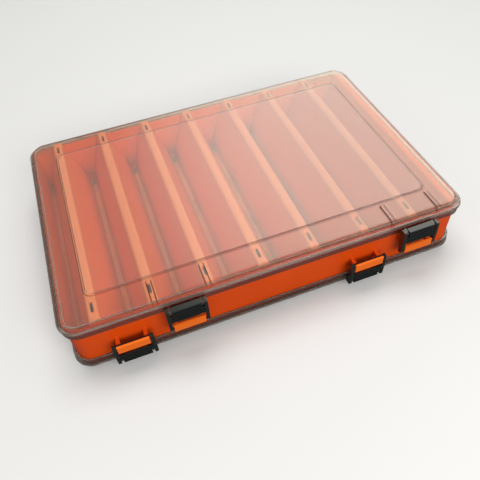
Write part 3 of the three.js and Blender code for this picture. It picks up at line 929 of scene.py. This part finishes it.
def between(share, low, high):
    """Value from low to high, by a share from 0 to 1."""
    return ramp(share, 0.0, 1.0, low, high, "LINEAR")


def blend(share, under, over):
    """Lays one colour over another by a share."""
    tree = share.id_data
    node = add_node(tree, "Mix", data_type="RGBA", in_Factor=share, in_A=under, in_B=over)
    return node.outputs["Result"]


def own_place(tree):
    """The place of a point in its object's own axes."""
    return add_node(tree, "TexCoord").outputs["Object"]


def split(vector):
    """The X, Y and Z of a vector."""
    return add_node(vector.id_data, "SeparateXYZ", vector).outputs


def noise(place, scale, **shape):
    """Cloudy pattern from 0 to 1."""
    node = add_node(place.id_data, "TexNoise", in_Vector=place, in_Scale=scale, **shape)
    return node.outputs["Fac"]


def bumped(height, strength, distance):
    """Normal of a surface with a fine relief."""
    tree = height.id_data
    node = add_node(tree, "Bump", in_Strength=strength, in_Distance=distance, in_Height=height)
    return node.outputs["Normal"]


print("node helpers ready")

# %% [markdown]
# ## Shared effects
#
# Four effects turn up in more than one place, so each is a node group that is built once. Moulding
# marks are the fine grain and slow unevenness of a moulded face. The paler edge line is found by
# comparing the normal with that of a rounded edge; it is partly wear where an edge is handled and
# partly a painted highlight. Scratches are long thin marks. The outline's distance says how far a
# point is from a rounded rectangle, such as the rim.

# %% Build the shared node groups


def new_group(name, inputs, outputs):
    """Makes a node group of plain numbers, with the sockets of its inputs and outputs."""
    tree = bpy.data.node_groups.new(name, "ShaderNodeTree")
    for socket, value in inputs.items():
        made = tree.interface.new_socket(socket, in_out="INPUT", socket_type="NodeSocketFloat")
        made.default_value = value
    for socket in outputs:
        tree.interface.new_socket(socket, in_out="OUTPUT", socket_type="NodeSocketFloat")
    given, result = tree.nodes.new("NodeGroupInput"), tree.nodes.new("NodeGroupOutput")
    return tree, given.outputs, result.inputs


def moulding_marks():
    """Grain height, and a slow tone from 0 to 1."""
    sizes = {"Grain": 900.0, "Flow": 18.0}
    tree, given, result = new_group("moulding_marks", sizes, ("Height", "Tone"))
    place = own_place(tree)
    grain = noise(place, given["Grain"], in_Detail=4.0, in_Roughness=0.6)
    flow = noise(place, given["Flow"], in_Detail=2.0, in_Distortion=0.8)
    put(result["Height"], maths("MULTIPLY_ADD", grain, 0.25, flow))
    put(result["Tone"], flow)
    return tree


def edge_rub_and_highlight():
    """Mask of the edges, from 0 to 1: partly wear where they are handled, partly a painted highlight.
    """
    tree, given, result = new_group("edge_rub_and_highlight", {"Radius": 0.6 * MM, "Strength": 1.0}, ("Mask",))
    rounded = add_node(tree, "Bevel", samples=4, in_Radius=given["Radius"]).outputs["Normal"]
    surface = add_node(tree, "NewGeometry").outputs["Normal"]
    likeness = vector_maths("DOT_PRODUCT", rounded, surface)
    edge = ramp(likeness, 0.995, 0.85, kind="LINEAR")
    broken = times(edge, noise(own_place(tree), 140.0, in_Detail=3.0))
    put(result["Mask"], maths("MULTIPLY", broken, given["Strength"], clamp=True))
    return tree


def fine_scratches():
    """Mask of thin marks in three directions, from 0 to 1."""
    tree, given, result = new_group("fine_scratches", {"Density": 0.62, "Scale": 60.0}, ("Mask",))
    place = own_place(tree)
    mask = 0.0
    for turn, stretch in ((0.5, 0.045), (1.9, 0.06), (2.7, 0.035)):
        mapping = add_node(tree, "Mapping", place, in_Rotation=(0, 0, turn), in_Scale=(stretch, 1.6, 1))
        turned = mapping.outputs["Vector"]
        marks = noise(turned, given["Scale"], in_Detail=5.0, in_Roughness=0.55)
        band = maths("COMPARE", marks, given["Density"], 0.004)
        mask = maths("MAXIMUM", mask, band)
    put(result["Mask"], mask)
    return tree


def outline_distance():
    """Distance from a rounded rectangle round the Z axis, negative inside it."""
    sizes = {"Half X": 0.0, "Half Y": 0.0, "Radius": 0.0}
    tree, given, result = new_group("outline_distance", sizes, ("Distance",))
    size = split(vector_maths("ABSOLUTE", own_place(tree)))
    past = []
    for side in ("X", "Y"):
        straight = maths("SUBTRACT", given["Half " + side], given["Radius"])
        past.append(maths("SUBTRACT", size[side], straight))
    outside = [maths("MAXIMUM", way, 0.0) for way in past]
    corner = add_node(tree, "CombineXYZ", *outside).outputs[0]
    inside = maths("MINIMUM", maths("MAXIMUM", *past), 0.0)
    both = maths("ADD", inside, vector_maths("LENGTH", corner))
    put(result["Distance"], maths("SUBTRACT", both, given["Radius"]))
    return tree


GROUPS = {
    "marks": moulding_marks(),
    "rub_and_highlight": edge_rub_and_highlight(),
    "scratches": fine_scratches(),
    "outline": outline_distance(),
}


def effect(tree, key, **inputs):
    """Adds a shared effect and gives back its results."""
    return add_node(tree, "Group", node_tree=GROUPS[key], **inputs).outputs


print("node groups", sorted(g.name for g in GROUPS.values()))

# %% [markdown]
# ## Moulded plastic
#
# The orange plastic is a satin moulding. Painted light makes it paler inside the wall, most of all
# on the ridge tops, and painted shade makes it duller towards the right end. Painted shade lies deep
# in the folds, and painted light makes the catches lighter. The latches are the same kind of
# moulding, finer and glossier.

# %% Build the moulded finishes
SCRATCH_ROUGHNESS = 0.12
# Painted light and shade on the orange: the pale inside and ridge tops are painted light, the dull
# right end is painted shade.
LIT_INSIDE = (0.84, 0.165, 0.025)
LIT_RIDGE = (0.76, 0.235, 0.09)
SHADED_INSIDE = (0.63, 0.118, 0.02)
SHADED_RIDGE = (0.50, 0.145, 0.055)
# Painted shade that darkens the bottom of each fold.
FOLD_SHADE = (0.17, 0.115, 0.08)
# Painted light that makes the catches lighter.
LIT_CATCH = (0.86, 0.15, 0.010)


def new_finish(name):
    """A new material, with its node tree and its shader node."""
    finish = bpy.data.materials.new(name)
    finish.use_nodes = True
    return finish, finish.node_tree, finish.node_tree.nodes["Principled BSDF"]


def set_shader(shader, **values):
    for socket, value in values.items():
        put(shader.inputs[socket.replace("_", " ")], value)


def place_off_middle(tree):
    """A point's X and Y, its height off the middle plane, and 1 or -1 for the side it is on."""
    place = split(own_place(tree))
    lifted = maths("SUBTRACT", place["Z"], MIDDLE)
    return place["X"], place["Y"], maths("ABSOLUTE", lifted), maths("SIGN", lifted)


def off_outline(tree, half_x, half_y, radius):
    """Distance from a rounded rectangle, such as the box's outline."""
    return effect(tree, "outline", in_Half_X=half_x, in_Half_Y=half_y, in_Radius=radius)[0]


def painted_inner_light(tree, colour):
    """Painted light makes it paler inside the wall and on the ridge tops, and painted shade makes it
    duller towards the right.
    """
    x, _, height, _ = place_off_middle(tree)
    face = -TRAY_INSET - TRAY_WALL
    outline = off_outline(tree, HALF_LENGTH, HALF_WIDTH, RIM_RADIUS)
    inside = ramp(outline, face + 0.4 * MM, face - 0.1 * MM)
    ridge = RIDGE_TOP - MIDDLE
    top = times(inside, ramp(height, ridge - 2.5 * MM, ridge - 0.3 * MM))
    right_shade = ramp(x, -0.4 * HALF_LENGTH, HALF_LENGTH)
    colour = blend(inside, colour, LIT_INSIDE)
    colour = blend(top, colour, LIT_RIDGE)
    colour = blend(times(inside, right_shade), colour, SHADED_INSIDE)
    return blend(times(top, right_shade), colour, SHADED_RIDGE)


def painted_fold_shade(tree, colour):
    """Painted shade, brownish and patchy, towards the bottom of each fold, on both sides of the sheet.
    """
    place = own_place(tree)
    facing = split(add_node(tree, "NewGeometry").outputs["Normal"])
    below = maths("SUBTRACT", MIDDLE, split(place)["Z"])
    depth = times(below, maths("SIGN", facing["Z"]))
    patches = between(noise(place, 35.0, in_Detail=4.0), 0.1, 0.8)
    amount = times(ramp(depth, 6 * MM, 20.5 * MM), patches)
    return blend(amount, colour, FOLD_SHADE)


def painted_catch_light(tree, colour):
    """Painted light on the catches, which stand out in front of the wall."""
    y = split(own_place(tree))["Y"]
    out = ramp(y, -HALF_WIDTH - 3.5 * MM, -HALF_WIDTH - 5 * MM)
    return blend(out, colour, LIT_CATCH)


def moulded_plastic(
    name, dark, light, worn_and_lit, shine, roughness, grain, depth, rub_and_highlight, edge_reach, layers=()
):
    """Opaque moulded plastic with grain, slow tone, scratches, paler edges that are partly wear and
    partly painted highlight, and further layers.
    """
    finish, tree, shader = new_finish(name)
    marks = effect(tree, "marks", in_Grain=grain)
    edges = effect(tree, "rub_and_highlight", in_Strength=rub_and_highlight, in_Radius=edge_reach)[0]
    scratches = effect(tree, "scratches")[0]
    colour = blend(edges, blend(marks["Tone"], dark, light), worn_and_lit)
    for layer in layers:
        colour = layer(tree, colour)
    rough = between(marks["Tone"], *roughness)
    set_shader(
        shader,
        Base_Color=colour,
        Specular_IOR_Level=shine,
        Roughness=maths("MULTIPLY_ADD", scratches, SCRATCH_ROUGHNESS, rough),
        Normal=bumped(marks["Height"], 0.35, depth),
    )
    return finish


# On both mouldings the paler edge colour is partly wear and partly painted highlight, most of all along
# the latches' grip ribs.
orange_finish = moulded_plastic(
    "orange_moulding",
    dark=(0.60, 0.056, 0.003),
    light=(0.75, 0.076, 0.0035),
    worn_and_lit=(0.88, 0.27, 0.05),
    shine=0.32,
    roughness=(0.30, 0.46),
    grain=1400.0,
    depth=0.06 * MM,
    rub_and_highlight=0.7,
    edge_reach=0.6 * MM,
    layers=(painted_inner_light, painted_fold_shade, painted_catch_light),
)
black_finish = moulded_plastic(
    "black_moulding",
    dark=(0.002, 0.003, 0.0025),
    light=(0.005, 0.007, 0.006),
    worn_and_lit=(0.06, 0.070, 0.064),
    shine=1.0,
    roughness=(0.20, 0.34),
    grain=2200.0,
    depth=0.04 * MM,
    rub_and_highlight=1.2,
    edge_reach=0.2 * MM,
)
print("finishes", orange_finish.name, black_finish.name)

# %% [markdown]
# ## Clear plastic and wire
#
# The clear plastic is real glass to Blender, with a warm smoky tint. A rough coat is its scuffed
# surface. Painted shade makes the rim and skirt darker, the bead is bright, and thin lines of
# painted shade lie at the panel's foot and along the ribs. A Light Path node lets rays from lamps
# pass straight through it, so that the tray under it is lit without grain. The pins are drawn wire.

# %% Build the clear plastic and the wire
PANEL_CORNER = 5 * MM
SMOKE = ((0.93, 0.87, 0.80), (0.97, 0.93, 0.88))
MARGIN_TINT = (0.93, 0.81, 0.69)
# The foot and rib line tints are painted shade lines at the panel's step and along the ribs' edges.
FOOT_SHADE = (0.34, 0.25, 0.21)
RIB_LINE_SHADE = (0.30, 0.21, 0.17)
# The rim and skirt tints are painted shade.
RIM_SHADE = (0.62, 0.42, 0.34)
BEAD_TINT = (0.92, 0.87, 0.79)
SKIRT_SHADE = (0.30, 0.20, 0.15)
LAMP_LIGHT_TINT = (0.98, 0.96, 0.94)
WIRE_TONES = ((0.50, 0.50, 0.51), (0.68, 0.68, 0.69))


def lid_zones(tree):
    """Masks of a lid's rim, bead, skirt, foot of its raised panel, and margin."""
    height = place_off_middle(tree)[2]
    rim_height = RIM_TOP - MIDDLE
    off_rim = off_outline(tree, HALF_LENGTH, HALF_WIDTH, RIM_RADIUS)
    off_panel = off_outline(tree, *PANEL_HALF, PANEL_CORNER)
    rim = ramp(height, rim_height + 0.8 * MM, rim_height + 0.1 * MM)
    skirt = ramp(height, rim_height - 1.8 * MM, rim_height - 2.4 * MM)
    over_skirt = ramp(height, rim_height - 2.3 * MM, rim_height - 1.8 * MM)
    bead = times(ramp(off_rim, -1.7 * MM, -1.2 * MM), over_skirt)
    foot_start = ramp(off_panel, -0.3 * MM, 0)
    foot = times(foot_start, ramp(off_panel, 0.55 * MM, 0.25 * MM))
    return rim, bead, skirt, foot, ramp(off_panel, 0, 1 * MM)


def rib_shade_lines(tree):
    """Mask of the painted shade lines along both edges of each low rib beside a latch."""
    x, y, _, side = place_off_middle(tree)
    along = times(x, side)
    nearest = HALF_LENGTH
    for centre in LATCHES.values():
        distance = along
        for step in (centre, RIB_OFFSET, RIB_WIDTH / 2):
            distance = maths("ABSOLUTE", maths("SUBTRACT", distance, step))
        nearest = maths("MINIMUM", nearest, distance)
    line = ramp(nearest, 0.6 * MM, 0.25 * MM)
    front = -HALF_WIDTH + RIM_STANDOUT
    reach = ramp(y, front + 16 * MM, front + 15 * MM)
    wall = ramp(y, front - 0.8 * MM, front - 0.6 * MM)
    return times(times(line, reach), wall)


def clear_plastic(name):
    """Clear plastic with a smoky tint, a scuffed surface, a bright bead, and painted shade on the rim
    and skirt and in lines.
    """
    finish, tree, shader = new_finish(name)
    tone = effect(tree, "marks", in_Flow=9.0)["Tone"]
    scratches = effect(tree, "scratches", in_Scale=45.0)[0]
    rim, bead, skirt, foot, margin = lid_zones(tree)
    outlines = rib_shade_lines(tree)
    colour = blend(tone, *SMOKE)
    for mask, tint in (
        (margin, MARGIN_TINT),
        (foot, FOOT_SHADE),
        (outlines, RIB_LINE_SHADE),
        (rim, RIM_SHADE),
        (bead, BEAD_TINT),
        (skirt, SKIRT_SHADE),
    ):
        colour = blend(mask, colour, tint)
    rough = maths("MULTIPLY_ADD", scratches, SCRATCH_ROUGHNESS, 0.05)
    scuffed = between(maths("MAXIMUM", foot, outlines), 0.4, 0.0)
    set_shader(
        shader,
        Base_Color=colour,
        Roughness=maths("MULTIPLY_ADD", rim, 0.12, rough),
        Transmission_Weight=0.97,
        IOR=1.5,
        Coat_Weight=maths("MAXIMUM", scuffed, bead),
        Coat_Roughness=0.25,
        Coat_IOR=2.0,
        Normal=bumped(tone, 0.3, 0.1 * MM),
    )
    lamp_ray = add_node(tree, "LightPath").outputs["Is Shadow Ray"]
    straight = add_node(tree, "BsdfTransparent", in_Color=LAMP_LIGHT_TINT)
    choose = add_node(tree, "MixShader", lamp_ray, shader.outputs[0], straight.outputs[0])
    put(tree.nodes["Material Output"].inputs["Surface"], choose.outputs[0])
    return finish


def drawn_wire(name):
    """Bright wire with fine lines along X."""
    finish, tree, shader = new_finish(name)
    stretch = add_node(tree, "Mapping", in_Vector=own_place(tree), in_Scale=(30, 2600, 2600))
    lines = noise(stretch.outputs["Vector"], 1.0, in_Detail=3.0)
    set_shader(
        shader,
        Base_Color=blend(lines, *WIRE_TONES),
        Metallic=1.0,
        Roughness=between(lines, 0.18, 0.42),
        Normal=bumped(lines, 0.2, 0.02 * MM),
    )
    return finish


clear_finish = clear_plastic("clear_smoke")
wire_finish = drawn_wire("drawn_wire")
print("finishes", clear_finish.name, wire_finish.name)

# %% [markdown]
# ## Dressing the frame
#
# Each piece takes its finish, stands in for its CAD node, and rides on that node's body, so the
# joints move it. A lid's latches and their pins go with the lid.

# %% Give each piece its finish, node and body


def body_with(node):
    groups = frame["record"]["behaviour"]["bodies"]
    return next(body for body, nodes in groups.items() if node in nodes)


def dress(piece, finish, slot, *nodes):
    piece.data.materials.clear()
    piece.data.materials.append(finish)
    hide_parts(*nodes)
    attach(piece, body_with(nodes[0]))


dress(tray, orange_finish, "orange_plastic", "tray_wall", "divider_sheet")
dress(top_lid, clear_finish, "clear_plastic", "top_lid")
dress(bottom_lid, clear_finish, "clear_plastic", "bottom_lid")
for node, piece in latches.items():
    dress(piece, black_finish, "black_plastic", node)
for node, piece in pins.items():
    dress(piece, wire_finish, "steel", node)
print("dressed", 3 + len(latches) + len(pins), "pieces")

# %% [markdown]
# ## Floor and light
#
# The box lies on a plain pale floor in a pale world. A large soft lamp stands above it and a little
# behind, and a second one in front lights the front wall. Gloss and clear plastic don't see the
# lamps. They see a soft glow in the world, behind on the right, which lies as haze on the lid. The
# floor is darker for light that bounces off it, so that it doesn't wash out the box from below.

# %% Set the stage
FLOOR_HALF = 2.0
FLOOR_TONES = ((0.62, 0.62, 0.61), (0.66, 0.66, 0.65))
FLOOR_BOUNCE = (0.11, 0.12, 0.12)
FLOOR_THROUGH_PLASTIC = 0.55
WORLD_COLOUR = (1.0, 0.985, 0.965)
WORLD_STRENGTH = (0.5, 0.9)
GLOW_COLOUR = (0.96, 0.99, 0.91)
GLOW_FROM = (0.56, 0.60, 0.57)
GLOW_EDGE = (0.80, 0.97)
GLOW_STRENGTH = (0.26, 2.2)


def set_floor():
    """A floor that shows its own tone to the camera and a darker one to bounced rays."""
    add, under_box = bpy.ops.mesh.primitive_plane_add, (0, 0, -0.05 * MM)
    floor = primitive("floor", add, size=2 * FLOOR_HALF, location=under_box)
    finish, tree, shader = new_finish("pale_floor")
    marks = effect(tree, "marks", in_Grain=400.0, in_Flow=3.0)
    tone = blend(marks["Tone"], *FLOOR_TONES)
    ray = add_node(tree, "LightPath").outputs
    through = (ray["Is Transmission Ray"], FLOOR_THROUGH_PLASTIC, ray["Is Camera Ray"])
    seen = maths("MULTIPLY_ADD", *through, clamp=True)
    set_shader(shader, Base_Color=blend(seen, FLOOR_BOUNCE, tone), Roughness=0.7)
    floor.data.materials.append(finish)


def set_world():
    """An even pale world. Gloss and clear plastic see a broad soft light behind on the right."""
    world = bpy.data.worlds.new("pale_world")
    bpy.context.scene.world = world
    world.use_nodes = True
    tree = world.node_tree
    ray = add_node(tree, "LightPath").outputs
    seen = maths("MAXIMUM", ray["Is Glossy Ray"], ray["Is Transmission Ray"])
    strength = between(ray["Is Camera Ray"], *WORLD_STRENGTH)
    direction = add_node(tree, "TexCoord").outputs["Generated"]
    towards = vector_maths("DOT_PRODUCT", direction, GLOW_FROM)
    glow = ramp(towards, *GLOW_EDGE, *GLOW_STRENGTH)
    gloss = add_node(tree, "Mix", data_type="FLOAT", in_Factor=seen, in_A=strength, in_B=glow)
    background = tree.nodes["Background"].inputs
    put(background["Color"], blend(seen, WORLD_COLOUR, GLOW_COLOUR))
    put(background["Strength"], gloss.outputs["Result"])


def add_lamp(name, place, size, power):
    """Adds a soft lamp that faces the box. Gloss and clear plastic don't see it."""
    bpy.ops.object.light_add(type="AREA", location=place)
    lamp = bpy.context.object
    lamp.name = name
    lamp.data.shape = "RECTANGLE"
    lamp.data.size, lamp.data.size_y = size
    lamp.data.energy = power
    lamp.visible_glossy = False
    lamp.visible_transmission = False
    lamp.rotation_mode = "QUATERNION"
    lamp.rotation_quaternion = (Vector(place) - Vector((0, 0, MIDDLE))).to_track_quat("Z", "Y")


set_floor()
set_world()
add_lamp("key_lamp", place=(0.05, 0.35, 1.1), size=(0.9, 0.6), power=8.3)
add_lamp("front_lamp", place=(0.15, -0.95, 0.7), size=(0.9, 0.5), power=10.0)
bpy.context.scene.view_settings.view_transform = "Standard"
print("stage set")
